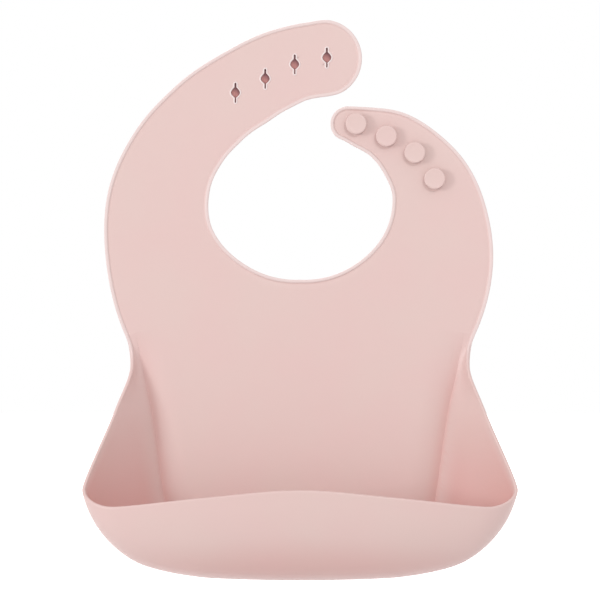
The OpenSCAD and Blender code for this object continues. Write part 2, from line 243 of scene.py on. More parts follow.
RAIL_L = [rail_start(0), [1, waist_hw - 3.5, -5.5, -waist_drop - 16],
          [2, waist_hw + 4.5, -19, -waist_drop - 40],
          [3, mouth_hw, -0.68 * lip_out, -corner_drop],
          [4, mouth_hw - 15, -0.88 * lip_out, -corner_drop - 9],
          [5, mouth_hw - 63, -0.98 * lip_out, -corner_drop - 4],
          [6, 0, -lip_out, -corner_drop],
          [7, 63 - mouth_hw, -0.98 * lip_out, -corner_drop - 4]]
N_STATIONS = 120


def rail(keys, s):
    """Points of a rail in the sheet's middle. Its rise off the sheet is eased
    over the first station, so that the wall leaves the panel level."""
    p = at(keys, s)
    jump = slopes(np.array(keys, float))[0, 1]
    t = np.clip(s, 0, 1)
    p[:, 1] -= jump * t * (1 - t) ** 2 + half_t
    return p


# How far back the crease lies, by station, and how far that reaches into the
# panel and out along the wall
DIP = [[0, 0], [1, 2.6], [2, 3.6], [3, 3], [3.8, 0], [7, 0]]
DIP_IN, DIP_OUT, DIP_ROUND = 16, 24, 0.4


def dip_share(away, reach):
    """Share of the crease's depth at a distance from it: a parabola that runs
    out level at its reach, rounded off over the crease."""
    return np.clip(1 - (np.hypot(away, DIP_ROUND) - DIP_ROUND) / reach, 0, 1) ** 2


def off_crease(points):
    """Station of the nearest point of the crease, and the distance from it, for
    points of the panel by x and z."""
    s = np.linspace(0, 4, 500)
    crease = at(RAIL_B, s)[:, [0, 2]]
    away = np.linalg.norm(points.reshape(-1, 2)[:, None] - crease, axis=2)
    nearest = s[np.argmin(away, axis=1)]
    return nearest.reshape(points.shape[:-1]), away.min(axis=1).reshape(points.shape[:-1])


def tabled(table, s):
    """Values tabled by station, for an array of stations of any shape."""
    return at(table, s.ravel())[:, 0].reshape(s.shape)


def dip(points):
    """How far back points of the panel lie, by x and z: full at the nearest
    point of the crease, and eased to nothing away from it."""
    s, away = off_crease(points)
    return tabled(DIP, s) * dip_share(away, DIP_IN)


# Painted shade along the crease, by station, and how far it fades into panel and wall
CREASE_SHADE = [[0, 0], [0.8, 0.03], [2, 0.07], [3, 0.09], [4, 0.03], [5, 0], [7, 0]]
CREASE_SHADE_IN, CREASE_SHADE_OUT = 4.6, 1.6


def crease_shade(points):
    """Painted shade of points of the panel, by x and z: a bell about the crease."""
    s, away = off_crease(points)
    return tabled(CREASE_SHADE, s) * np.exp(-(away / CREASE_SHADE_IN) ** 2)


def stations():
    """Stations from the waist to the front's middle, closer at the corner."""
    return at([[0, 0], [0.38, 2.6], [0.74, 4.6], [1, 6]], np.linspace(0, 1, N_STATIONS + 1))[:, 0]


# ------------------------------------------------------ heights of the skin
# How far the front stands proud of the sheet, by the distance from a free
# edge: rounded edge, bead, and the shallow groove that runs inside the bead.
BEAD_ROWS = np.array([0, 0.12, 0.3, 0.55, 0.9, 1.2, 1.45, 1.7, 1.95, 2.2, 2.5, 3.0])
BEAD_TOP, BEAD_SLOPE = 1.3, 0.85
GROOVE_AT, GROOVE_WIDE, GROOVE_DEEP = 2.4, 0.3, 0.12


def rounded(d, r):
    """Drop of a rounded edge of radius r, at the distance d from the edge: a
    quarter of a circle."""
    return r - np.sqrt(np.maximum(r * r - np.maximum(r - d, 0) ** 2, 0))


def front_height(d):
    """Height of the front over the sheet, at the distance d from the edge: the
    bead falls off over a short slope, and a bell cut out of the sheet is the
    groove beside it."""
    bead = bead_h * (1 - smoothstep((d - BEAD_TOP) / BEAD_SLOPE))
    groove = GROOVE_DEEP * np.exp(-((d - GROOVE_AT) / GROOVE_WIDE) ** 2)
    return bead - groove - rounded(d, front_round)


def back_height(d):
    """Height of the back over the sheet's back face: its edge is rounded."""
    return rounded(d, back_round)


# --------------------------------------------------------- columns and rows
# Columns from the chest's seam to 2 degrees above the waist, how they crowd
# round the neck towards the middle, and the most of the width that the strip
# outside the line M takes
N_HIP = 14
NECK_CROWDING = 0.9
STRIP_SHARE = 0.22


class Half:
    """One side of the flat sheet, from its arm's tip to the middle of the
    chest: columns across the sheet by their ends, the inner and the outer
    edge, and by where they cross the line M inside the outer edge.

    end_a, leave_a, bends and chest_a are angles up from the side of the neck:
    of the tip, of where its two edges leave the arm, of the bending lines and
    of the chest's seam. arcs says where the tip's two arcs end, and spacing how
    many degrees apart columns are in the arm's end, bow and shoulder."""

    def __init__(self, keys_in, keys_out, end_a, arcs, leave_a, bends, chest_a, n_tip,
                 n_bridge, spacing):
        self.keys_in, self.chest_a = keys_in, chest_a
        tip_in, tip_out = tip_edges(keys_in, keys_out, end_a, arcs, leave_a, n_tip, n_bridge)
        seams = [(bends[2] + bends[1]) / 2, (bends[1] + bends[0]) / 2, chest_a]
        ends, self.seams, columns = [leave_a[0]] + seams, [], []
        for a, b, gap in zip(ends, seams, spacing):
            columns.append(np.linspace(a, b, round((a - b) / gap), endpoint=False))
            self.seams.append(len(tip_in) + sum(map(len, columns)))
        arm = np.concatenate(columns)
        first = len(columns[0])
        arm_out = arm.copy()
        arm_out[:first] = np.linspace(leave_a[1], seams[0], first, endpoint=False)
        down = np.linspace(chest_a, 2 - waist_a, N_HIP)
        share = np.linspace(0, 1, len(down) + 1 + N_STATIONS) ** NECK_CROWDING
        neck = chest_a + (-90 - chest_a) * share
        self.inner = np.vstack([tip_in, on_ring(keys_in, arm), on_ring(keys_in, neck)])
        outer = np.vstack([tip_out, on_ring(keys_out, arm_out), on_ring(keys_out, down),
                           cut_point(0)])
        self.waist = len(outer) - 1
        self.in_way = turned(unit(np.gradient(self.inner, axis=0)))
        out_way = -turned(unit(np.gradient(outer, axis=0)))
        out_way[-1] = CUT
        self.in_way[0] = out_way[0] = unit(self.in_way[0] + out_way[0])
        self.in_way[-1] = [0, -1]
        width = np.linalg.norm(outer - self.inner[:len(outer)], axis=1)
        depth = np.minimum(strip_w, STRIP_SHARE * width)
        swell = np.sin(np.linspace(0, math.pi / 2, len(tip_in)))
        depth[:len(tip_in)] = lerp(bead_zone, depth[len(tip_in)], swell)
        depth[-1] = strip_w
        line = outer + out_way * depth[:, None]
        # Below the waist the outer edge is the pocket's, so none is given here
        below = np.zeros((N_STATIONS, 2))
        self.line = np.vstack([line[:-1], rail(RAIL_A, stations())[:, [0, 2]]])
        self.outer = np.vstack([outer, below])
        self.out_way = np.vstack([out_way, below])

    def skin(self, a, b, n_mid, n_strip):
        """The columns a to b as a grid: bead rows, rows across to the line M,
        rows of the strip outside it, and bead rows again. Gives x and z, and
        each point's distance from the free edge nearest to it."""
        cut = slice(a, b + 1)
        edge = BEAD_ROWS[None, :, None]
        near = self.inner[cut, None] + self.in_way[cut, None] * edge
        far = self.outer[cut, None] + self.out_way[cut, None] * edge[:, ::-1]
        line = self.line[cut, None]
        mid = np.linspace(0, 1, n_mid + 1)[1:, None]
        strip = np.linspace(0, 1, n_strip + 1)[1:-1, None]
        grid = np.concatenate([near, lerp(near[:, -1:], line, mid),
                               lerp(line, far[:, :1], strip), far], axis=1)
        d = np.full(grid.shape[1], bead_zone)
        d[:len(BEAD_ROWS)] = BEAD_ROWS
        d[-len(BEAD_ROWS):] = BEAD_ROWS[::-1]
        return grid, np.tile(d, (len(grid), 1)), len(BEAD_ROWS) - 1 + n_mid


# Angle over which the middle line's direction at a tip is taken
TIP_AXIS = 8


def bridge(p, along, q, into, n):
    """A cubic from p, leaving along one way, to q, reaching it along another;
    n points between its two ends, which it leaves out."""
    t = np.linspace(0, 1, n + 2)[1:-1, None]
    s, size = 1 - t, np.linalg.norm(q - p)
    return (p * (1 + 2 * t) * s * s + q * t * t * (3 - 2 * t)
            + size * (along * t * s * s - into * t * t * s))


def tip_edges(keys_in, keys_out, end_a, arcs, leave_a, n_tip, n_bridge):
    """Both edges of a rounded tip, from its farthest point back to where each
    edge leaves the arm: an arc about the arm's middle line, down to an angle
    off the line across the arm, then a cubic onto the edge."""
    last, before = ((on_ring(keys_in, a) + on_ring(keys_out, a))[0] / 2
                    for a in (end_a, end_a - TIP_AXIS))
    radius = (at(keys_out, end_a) - at(keys_in, end_a))[0, 0] / 2 + tip_proud
    forward = unit(last - before)
    across = -turned(forward)
    edges = []
    for side, keys, arc_end, leave in zip((-1, 1), (keys_in, keys_out), arcs, leave_a):
        beta = np.radians(np.linspace(90, arc_end, n_tip))[:, None]
        arc = last + radius * (side * across * np.cos(beta) + forward * np.sin(beta))
        along = side * across * np.sin(beta[-1]) - forward * np.cos(beta[-1])
        start, further = on_ring(keys, [leave, leave - 0.5])
        onto = bridge(arc[-1], along, start, unit(further - start), n_bridge)
        edges.append(np.vstack([arc, onto]))
    return edges


# ------------------------------------------------------------------- meshes
# In metres: points nearer than this are one, and shorter edges than that go
MERGE, SLIVER = 2e-6, 1e-7


def put_in_scene(name, data):
    """A new object for a mesh, lamp or camera."""
    thing = bpy.data.objects.new(name, data)
    bpy.context.scene.collection.objects.link(thing)
    return thing


class Shell:
    """A closed skin in the making: points, faces and two tones a point. rim is
    a painted highlight on the beads of free edges and on hole lips. The other is
    painted shade where its own faces close in on it: a little in the creases and corners of the
    pocket, 1 inside a hole."""

    def __init__(self):
        self.points, self.faces, self.rim, self.deep, self.count = [], [], [], [], 0

    def add(self, points, faces, rim, deep):
        """Adds points, given as any array of x, y, z, and faces by their rows.
        Each tone is one number, or one number for each point."""
        points = points.reshape(-1, 3)
        self.points.append(points)
        self.rim.append(np.broadcast_to(np.ravel(rim), len(points)))
        self.deep.append(np.broadcast_to(np.ravel(deep), len(points)))
        self.faces += (np.asarray(faces) + self.count).tolist()
        self.count += len(points)

    def add_sides(self, front, back, cells, solid, no_first, no_last, rim, deep):
        """Front and back of a grid's cells, and walls between the two along the
        border of the solid cells, with none across the first or last column
        where that is a tip or a middle. The painted shade is given for front and back."""
        n, m = front.shape[:2]
        spot = np.arange(n * m).reshape(n, m)
        behind = spot + n * m
        i, j = np.nonzero(cells)
        quads = np.stack([spot[i, j], spot[i + 1, j], spot[i + 1, j + 1], spot[i, j + 1]], axis=1)
        ring = np.pad(solid, 1)
        along = ring[1:-1, :-1] != ring[1:-1, 1:]
        across = ring[:-1, 1:-1] != ring[1:, 1:-1]
        across[0] &= not no_first
        across[-1] &= not no_last
        i, j = np.nonzero(along)
        wall_a = np.stack([spot[i, j], spot[i + 1, j], behind[i + 1, j], behind[i, j]], axis=1)
        i, j = np.nonzero(across)
        wall_b = np.stack([spot[i, j], spot[i, j + 1], behind[i, j + 1], behind[i, j]], axis=1)
        faces = np.vstack([quads, quads + n * m, wall_a, wall_b])
        self.add(np.stack([front, back]), faces, np.stack([rim, rim]), deep)

    def add_rings(self, rows, rim=0.0, deep=0.0, closed=False):
        """Quads between closed rows of points, rows x points x 3, and one face
        over the last row if it is closed."""
        n, m = rows.shape[:2]
        spot = np.arange(n * m).reshape(n, m)
        near, far = spot[:-1], spot[1:]
        quads = np.stack([near, np.roll(near, -1, 1), np.roll(far, -1, 1), far], axis=-1)
        if closed:
            self.faces.append((far[-1] + self.count).tolist())
        self.add(rows, quads.reshape(-1, 4), rim, deep)

    def make(self, name, material, sharp=50.0, mirror=False):
        """The finished object: doubles merged, unused points dropped, faces
        outwards, and shaded smooth apart from edges sharper than an angle."""
        points = np.vstack(self.points) * MM
        if mirror:
            points[:, 0] *= -1
        mesh = bpy.data.meshes.new(name)
        mesh.from_pydata(points.tolist(), [], self.faces)
        for tone, values in (("rim", self.rim), ("deep", self.deep)):
            layer = mesh.attributes.new(tone, "FLOAT", "POINT")
            layer.data.foreach_set("value", np.concatenate(values).astype(np.float32))
        form = bmesh.new()
        form.from_mesh(mesh)
        bmesh.ops.remove_doubles(form, verts=form.verts, dist=MERGE)
        bmesh.ops.delete(form, geom=[v for v in form.verts if not v.link_faces], context="VERTS")
        bmesh.ops.dissolve_degenerate(form, edges=form.edges, dist=SLIVER)
        bmesh.ops.recalc_face_normals(form, faces=form.faces)
        form.to_mesh(mesh)
        form.free()
        mesh.shade_smooth()
        mesh.set_sharp_from_angle(angle=math.radians(sharp))
        mesh.materials.append(material)
        return put_in_scene(name, mesh)


def lift(flat, y):
    """Points of the sheet from their x and z and a depth y."""
    return np.stack([flat[..., 0], np.broadcast_to(y, flat.shape[:-1]), flat[..., 1]], axis=-1)


# Distance from the edge up to which a bead has its full painted highlight, and to lose it
RIM_END, RIM_FADE = 1.5, 0.6


def bead_highlight(d):
    """Painted highlight of the bead: full on its top, none inside it."""
    return 1 - smoothstep((d - RIM_END) / RIM_FADE)


# ------------------------------------------------------------- button holes
# Half width of the belly, the heights over which it flows into the slit, half
# widths of the slit, and depths of the web behind the front and back faces
BELLY_R = 2.3
FLOW_UP, FLOW_DOWN = 2.9, 2.6
SLIT_UP, SLIT_DOWN = 0.44, 0.3
WEB_DEEP, WEB_BACK = 1.3, 0.3


def hole_quarter(flow, slit_r):
    """A quarter of a hole's outline, from the side of its belly to the slit's
    end: a power of a cosine that flows into the slit, closed by a round end."""
    end = slit_l / 2
    z = end * np.sin(np.linspace(0, math.pi / 2, 300))
    belly = np.cos(np.minimum(z / flow, 1) * math.pi / 2)
    width = slit_r + (BELLY_R - slit_r) * belly
    cap = np.sqrt(np.maximum(slit_r ** 2 - np.maximum(z - end + slit_r, 0) ** 2, 0))
    return np.stack([np.where(z < end - slit_r, width, np.minimum(width, cap)), z], axis=1)


def hole_outline(turn):
    """Points and outward ways of a hole's outline where turn, 0 to 4, counts
    quarters from its right side; each quarter is shared out by its length."""
    up, down = hole_quarter(FLOW_UP, SLIT_UP), hole_quarter(FLOW_DOWN, SLIT_DOWN)
    flip_x, flip_z = np.array([-1, 1]), np.array([1, -1])
    runs = [up, (up * flip_x)[::-1], down * -1, (down * flip_z)[::-1]]
    places, points = [], []
    for k, run in enumerate(runs):
        length = np.concatenate([[0], np.cumsum(np.linalg.norm(np.diff(run, axis=0), axis=1))])
        places.append(k + length / length[-1])
        points.append(run)
    places, points = np.concatenate(places), np.vstack(points)
    found = np.stack([np.interp(turn, places, points[:, c]) for c in (0, 1)], axis=1)
    ahead = np.roll(found, -1, axis=0) - np.roll(found, 1, axis=0)
    ways = -turned(unit(ahead))
    for _ in range(2):
        ways = unit(np.roll(ways, 1, axis=0) + 2 * ways + np.roll(ways, -1, axis=0))
    return found, ways


# Rings round a hole: distance outside its outline, height over the sheet,
# painted highlight on the lip, painted shade inside.
LIP = np.array([[1.1, 0, 0, 0], [0.92, 0.03, 0.2, 0], [0.78, 0.18, 1, 0], [0.62, 0.32, 1.9, 0],
                [0.45, 0.37, 2.2, 0], [0.28, 0.34, 2.2, 0], [0.12, 0.22, 1.6, 0],
                [0.03, 0.06, 0.6, 0.1], [0, -0.1, 0, 0.5], [0, -0.35, 0, 1], [0, -0.8, 0, 1],
                [0, -WEB_DEEP, 0, 1]])
BACK_LIP = np.array([[1.1, 0, 0, 0], [0.4, 0, 0, 0], [0.15, 0.03, 0, 0], [0.03, 0.12, 0, 0.2],
                     [0, WEB_BACK, 0, 0.8]])
# How far the web's rings lie from the hole's upright middle line, as a share
WEB_RINGS = [0.8, 0.5, 0.2, 0.04]
# The web's painted shade: in the slit above and below, in the middle of the belly, how
# fast that changes to a side, its least, and where the belly fades to the slit
SLIT_SHADES = 1.0, 0.75
WEB_SHADE, WEB_SLOPE, WEB_LEAST = 0.56, 0.16, 0.36
BELLY_END, BELLY_FADE = 1.4, 1.2


def web_shade(where):
    """Painted shade of the web, by place from the hole's middle: strong in the slit, more
    so above, and in the belly paler away from its overhung upper left."""
    x, z = where[..., 0], where[..., 1]
    belly = 1 - smoothstep((np.abs(z) - BELLY_END) / BELLY_FADE)
    paler = np.clip(WEB_SHADE + WEB_SLOPE * (z - x), WEB_LEAST, 1)
    return lerp(np.where(z > 0, *SLIT_SHADES), paler, belly)


# Half of the block of cells that a hole takes the place of, across and along
# the arm, and the shares of the way from its border to the lip where rows lie
HOLE_BLOCK = 6.4, 7.4
HOLE_ROWS = [0, 0.22, 0.45, 0.67, 0.86]
# How dark the painted shade on the hole's side is against the darkest of the web
SIDE_SHADE = 0.9


def add_hole(shell, grid, centre):
    """Opens a button hole in a grid of the sheet. A block of cells round the
    hole gives way to rings that go from its border to the hole's outline, up
    over a raised lip, and down to the slender web that the slit is cut in. The lip carries a
    painted highlight, the hole's side and web painted shade."""
    away = np.linalg.norm(grid - centre, axis=-1)
    i, j = np.unravel_index(np.argmin(away), away.shape)
    step_i = np.linalg.norm(grid[i + 1, j] - grid[i - 1, j]) / 2
    step_j = np.linalg.norm(grid[i, j + 1] - grid[i, j - 1]) / 2
    ni, nj = round(HOLE_BLOCK[0] / step_i), round(HOLE_BLOCK[1] / step_j)
    i0, i1, j0, j1 = i - ni, i + ni, j - nj, j + nj
    border = np.concatenate([grid[i0:i1, j0], grid[i1, j0:j1],
                             grid[i1:i0:-1, j1], grid[i0, j1:j0:-1]])
    turn = np.arctan2(*(border - centre)[:, ::-1].T) / (math.pi / 2) % 4
    first = np.argmin(turn)
    border, turn = np.roll(border, -first, axis=0), np.roll(turn, -first)
    if turn[1] > turn[-1]:
        border, turn = border[::-1], turn[::-1]
        border, turn = np.roll(border, 1, axis=0), np.roll(turn, 1)
    outline, ways = hole_outline(turn)
    outline = outline + centre
    n = len(border)
    for face, table in ((-sheet_t, LIP), (0.0, BACK_LIP)):
        edge = outline + ways * table[0, 0]
        rows = [lift(lerp(border, edge, t), face) for t in HOLE_ROWS]
        rims, tones = ([np.zeros(n)] * len(rows) for _ in range(2))
        for out, high, rim, deep in table:
            rows.append(lift(outline + ways * out, face - high))
            rims.append(np.full(n, rim))
            tones.append(np.full(n, deep * SIDE_SHADE))
        for share in WEB_RINGS:
            ring = centre + (outline - centre) * np.array([share, 1])
            rows.append(lift(ring, face - table[-1, 1]))
            rims.append(np.zeros(n))
            tones.append(web_shade(ring - centre))
        shell.add_rings(np.array(rows), np.array(rims), np.array(tones), closed=True)
    return slice(i0, i1), slice(j0, j1)


# ---------------------------------------------------------------- the skins
hole_side = Half(HOLE_IN, HOLE_OUT, end_a=100, arcs=(24, 24), leave_a=(92, 92),
                 bends=[bend_angle(n) for n in HOLE_JOINTS], chest_a=-20, n_tip=38,
                 n_bridge=28, spacing=(0.53, 1.0, 1.2))
stud_side = Half(STUD_IN, STUD_OUT, end_a=54, arcs=(40, 3), leave_a=(48, 44),
                 bends=[bend_angle(n) for n in STUD_JOINTS], chest_a=-24, n_tip=22,
                 n_bridge=16, spacing=(0.8, 0.8, 1.1))


def add_flat(shell, half, a, b, n_mid, n_strip, holes=(), mirror=False):
    """A length of the flat sheet between two columns. Cells outside the line M
    are left out below the waist, where the pocket's wall takes over."""
    grid, d, m_row = half.skin(a, b, n_mid, n_strip)
    low = max(half.waist - a, 0)
    solid = np.ones((grid.shape[0] - 1, grid.shape[1] - 1), bool)
    solid[low:, m_row:] = False
    cells = solid.copy()
    for centre in holes:
        cells[add_hole(shell, grid, centre)] = False
    panel = slice(low, None), slice(m_row + 1)
    # Panel cells near the crease dip back and carry its painted shade.
    sunk, tone = np.zeros(d.shape), np.zeros(d.shape)
    sunk[panel], tone[panel] = dip(grid[panel]), crease_shade(grid[panel])
    if mirror:
        grid = grid * np.array([-1, 1])
    front = lift(grid, sunk - (sheet_t + front_height(d)))
    back = lift(grid, sunk - back_height(d))
    # The beads carry a painted highlight.
    shell.add_sides(front, back, cells, solid, a == 0, b == len(half.inner) - 1,
                    bead_highlight(d), np.stack([tone, 0 * tone]))


def arm_piece(name, half, a, b, n_mid, n_strip, material, mirror=False, holes=()):
    """One piece of an arm, between two of its seams."""
    shell = Shell()
    add_flat(shell, half, a, b, n_mid, n_strip, holes)
    return shell.make(name, material, mirror=mirror)


def arch(p, q, r, t):
    """The parabola from p to r that is pulled towards q."""
    return p * (1 - t) ** 2 + q * 2 * t * (1 - t) + r * t * t


# Length of the two legs that the wall turns about B in, by station: a tight
# crease down the sides, opening into a round scoop past the corner.
CREASE = [[0, 0.8], [2, 0.9], [3, 1.6], [3.6, 7], [4.6, 40], [6, 60], [7, 60]]
LEG_MOST_A, LEG_MOST_C = 0.9, 0.45


def leg_end(s, b, other, most):
    """The point where the turn about b begins or ends, on the way to other."""
    share = np.minimum(at(CREASE, s) / np.linalg.norm(other - b, axis=1, keepdims=True), most)
    return lerp(b, other, share)


# Rows over each of the wall's two round parts, every how many of them lie on
# its flat parts, and the row that the wall turns about
WALL_ROWS, FLAT_STEP = 60, 6
TURN_ROW = WALL_ROWS // FLAT_STEP + WALL_ROWS // 2


def pocket_wall():
    """The middle of the pocket's wall as a grid of stations by rows, with its
    ways into the pocket. Across it: flat from A to the crease, an arc past B,
    flat to the middle of B and C, and a parabola past C to the lip."""
    s = stations()
    a, b, c, lip = (rail(k, s) for k in (RAIL_A, RAIL_B, RAIL_C, RAIL_L))
    p, q, mid = leg_end(s, b, a, LEG_MOST_A), leg_end(s, b, c, LEG_MOST_C), (b + c) / 2
    a, b, c, lip, p, q, mid = (k[:, None] for k in (a, b, c, lip, p, q, mid))
    t = np.linspace(0, 1, WALL_ROWS + 1)[None, :, None]
    few = t[:, ::FLAT_STEP]
    wall = np.concatenate([lerp(a, p, few), arch(p, b, q, t)[:, 1:], lerp(q, mid, few)[:, 1:],
                           arch(mid, c, lip, t)[:, 1:]], axis=1)
    sunk = at(DIP, s) * dip_share(np.linalg.norm(wall - b, axis=2), DIP_OUT)
    sunk[:, :TURN_ROW] = dip(wall[:, :TURN_ROW][..., [0, 2]])
    wall[..., 1] += sunk
    wall = np.concatenate([wall, wall[-2::-1] * np.array([-1, 1, 1])], axis=0)
    ways = unit(np.cross(np.gradient(wall, axis=0), np.gradient(wall, axis=1)))
    ways[[0, -1]] = [0, -1, 0]
    ways[:, 0] = [0, -1, 0]
    return wall, ways


def spread(values, length, wanted):
    """Values along each column, where its length reaches what is wanted."""
    return np.array([np.stack([np.interp(w, n, v[:, c]) for c in range(v.shape[1])], axis=1)
                     for v, n, w in zip(values, length, wanted)])


# How crowded rows are where the wall turns: the length in mm that counts as
# much as a turn by one radian. A row close beside the seam keeps that level.
EVEN_LENGTH = 30
SEAM_ROW = 0.002
# The lip: the stations over which the bead runs out into it, and the distance
# from the edge where its height begins to fall, and over which it does
LIP_RUN, LIP_TOP, LIP_SLOPE = 1.2, 0.7, 0.8
# Painted shade in the corners inside, and outside under the belly. Each grows from the
# first number over the second one: by station, or by mm from crease or lip.
CORNER_SHADE, BELLY_SHADE = 0.14, 0.07
CORNER_STARTS, CORNER_ENDS, CORNER_RISE = (1.7, 1.5), (4.2, 1.4), 16
BELLY_STARTS, BELLY_RISE, BELLY_FROM_LIP, BELLY_LIP_FADE = (3.2, 1.2), 22, (20, 26), 5


def grown(value, start, over):
    """0 before start and 1 past it by the length over, smooth between."""
    return smoothstep((value - start) / over)


def pocket_shade(s, middle, length, wall, wanted):
    """Painted shade on the wall's inside and outside. Inside, a bell about the
    crease, wide on the panel and narrow beyond it, and the corners, which
    grow stronger away from it. Outside, the belly under the lip, for the scoop."""
    turn_at = length[:, TURN_ROW:TURN_ROW + 1]
    from_turn = np.linalg.norm(middle - spread(wall, length, turn_at), axis=2)
    beyond = tabled(CREASE_SHADE, s) * np.exp(-(from_turn / CREASE_SHADE_OUT) ** 2)
    to_right = np.where(middle[..., :1] < 0, [-1, 1], [1, 1])
    crease = np.where(wanted < turn_at, crease_shade(middle[..., [0, 2]] * to_right), beyond)
    from_lip = length[:, -1:] - wanted
    corner = CORNER_SHADE * grown(s, *CORNER_STARTS) * (1 - grown(s, *CORNER_ENDS))
    inside = crease + corner * grown(wanted - turn_at, 0, CORNER_RISE)
    outside = BELLY_SHADE * grown(s, *BELLY_STARTS) * grown(from_lip, *BELLY_FROM_LIP)
    return np.stack([inside * grown(from_lip, 0, BELLY_LIP_FADE),
                     outside * grown(wanted - turn_at, 0, BELLY_RISE)])


def pocket_piece(name, material, n_rows):
    """The scoop pocket: a wall with the sheet's thickness on both sides of its
    middle. The sheet's bead runs out into its plain rounded lip. Rows lie
    closer together where the wall turns."""
    wall, ways = pocket_wall()
    steps = np.linalg.norm(np.diff(wall, axis=1), axis=2)
    turn = np.linalg.norm(np.diff(ways, axis=1), axis=2)
    length, weight = (np.pad(np.cumsum(k, axis=1), ((0, 0), (1, 0)))
                      for k in (steps, steps / EVEN_LENGTH + turn))
    share = np.concatenate([[0, SEAM_ROW], np.linspace(0, 1, n_rows + 1)[1:]])
    reach = np.array([np.interp(n[-1] - bead_zone, n, w) for n, w in zip(length, weight)])
    even = spread(length[..., None], weight, share * reach[:, None])[..., 0]
    wanted = np.concatenate([even, length[:, -1:] - BEAD_ROWS[::-1][1:]], axis=1)
    middle, out = spread(wall, length, wanted), unit(spread(ways, length, wanted))
    d = np.concatenate([np.full(len(share), bead_zone), BEAD_ROWS[::-1][1:]])[None, :]
    s = np.concatenate([stations(), stations()[-2::-1]])[:, None]
    lip = grown(s, 0, LIP_RUN)
    plain = lip_height * (1 - grown(d, LIP_TOP, LIP_SLOPE)) - rounded(d, lip_round)
    high = lerp(front_height(d), plain, lip)
    low = lerp(back_height(d), rounded(d, lip_round), lip)
    front = middle + out * (half_t + high)[..., None]
    back = middle - out * (half_t - low)[..., None]
    shell = Shell()
    cells = np.ones((len(middle) - 1, middle.shape[1] - 1), bool)
    # The bead's painted highlight runs out into the lip.
    shell.add_sides(front, back, cells, cells, False, False, bead_highlight(d) * (1 - lip),
                    pocket_shade(s, middle, length, wall, wanted))
    return shell.make(name, material)


# ---------------------------------------------------------------- the studs
def arc(r0, h0, radius, start, end, n=7):
    """Points of a round corner about r0, h0, between two angles in degrees."""
    a = np.radians(np.linspace(start, end, n))
    return np.stack([r0 + radius * np.cos(a), h0 + radius * np.sin(a)], axis=1)


# A stud's round corners: its root, under its head, and the head's two edges
ROOT_R, THROAT_R, UNDER_R, TOP_R = 0.8, 0.4, 0.35, 0.6
ROOT_SUNK = 0.5
# The dish in the head's top: distance in from the rim, and depth
DISH = np.array([[1.1, 0], [1.5, 0.05], [2, 0.1], [3.5, 0.12], [head_r, 0.12]])


def stud_profile():
    """Radius and height of a stud: a root that spreads into the sheet, the
    stem, the flat underside of the head, its bevelled rim and dished top."""
    top = stem_l + head_t
    return np.vstack([
        [[0, -ROOT_SUNK], [stem_r + ROOT_R, -ROOT_SUNK]],
        arc(stem_r + ROOT_R, ROOT_R, ROOT_R, 270, 180),
        arc(stem_r + THROAT_R, stem_l - THROAT_R, THROAT_R, 180, 90),
        arc(head_r - UNDER_R, stem_l + UNDER_R, UNDER_R, 270, 360),
        arc(head_r - TOP_R, top - TOP_R, TOP_R, 0, 90, 9),
        np.array([head_r, top]) - DISH])


def stud_piece(name, place, material, n=96):
    """A mushroom stud: its profile turned about the line through its place."""
    profile = stud_profile()
    a = np.linspace(0, 2 * math.pi, n, endpoint=False)[None, :]
    r, h = profile[:, :1], profile[:, 1:]
    rows = np.stack([place[0] + r * np.cos(a), np.broadcast_to(-sheet_t - h, (len(r), n)),
                     place[1] + r * np.sin(a)], axis=-1)
    shell = Shell()
    shell.add_rings(rows)
    return shell.make(name, material, sharp=60)


# ----------------------------------------------------------------- material
def linear(code):
    """The linear colour of an sRGB hex value."""
    c = np.array([int(code[i:i + 2], 16) for i in (0, 2, 4)]) / 255
    return (*np.where(c <= 0.04045, c / 12.92, ((c + 0.055) / 1.055) ** 2.4), 1)


def add_node(tree, kind, inputs, **settings):
    """A node with its settings. An input is a value, another node's output, or
    another node, which stands for its first output."""
    made = tree.nodes.new(kind)
    for key, value in settings.items():
        setattr(made, key, value)
    for key, value in inputs.items():
        if isinstance(value, bpy.types.Node):
            value = value.outputs[0]
        if isinstance(value, bpy.types.NodeSocket):
            tree.links.new(value, made.inputs[key])
        else:
            made.inputs[key].default_value = value
    return made


# Sizes in mm of the clouds in its pink, and of its etched grain
CLOUD_MM, GRAIN_MM = 38, 0.8


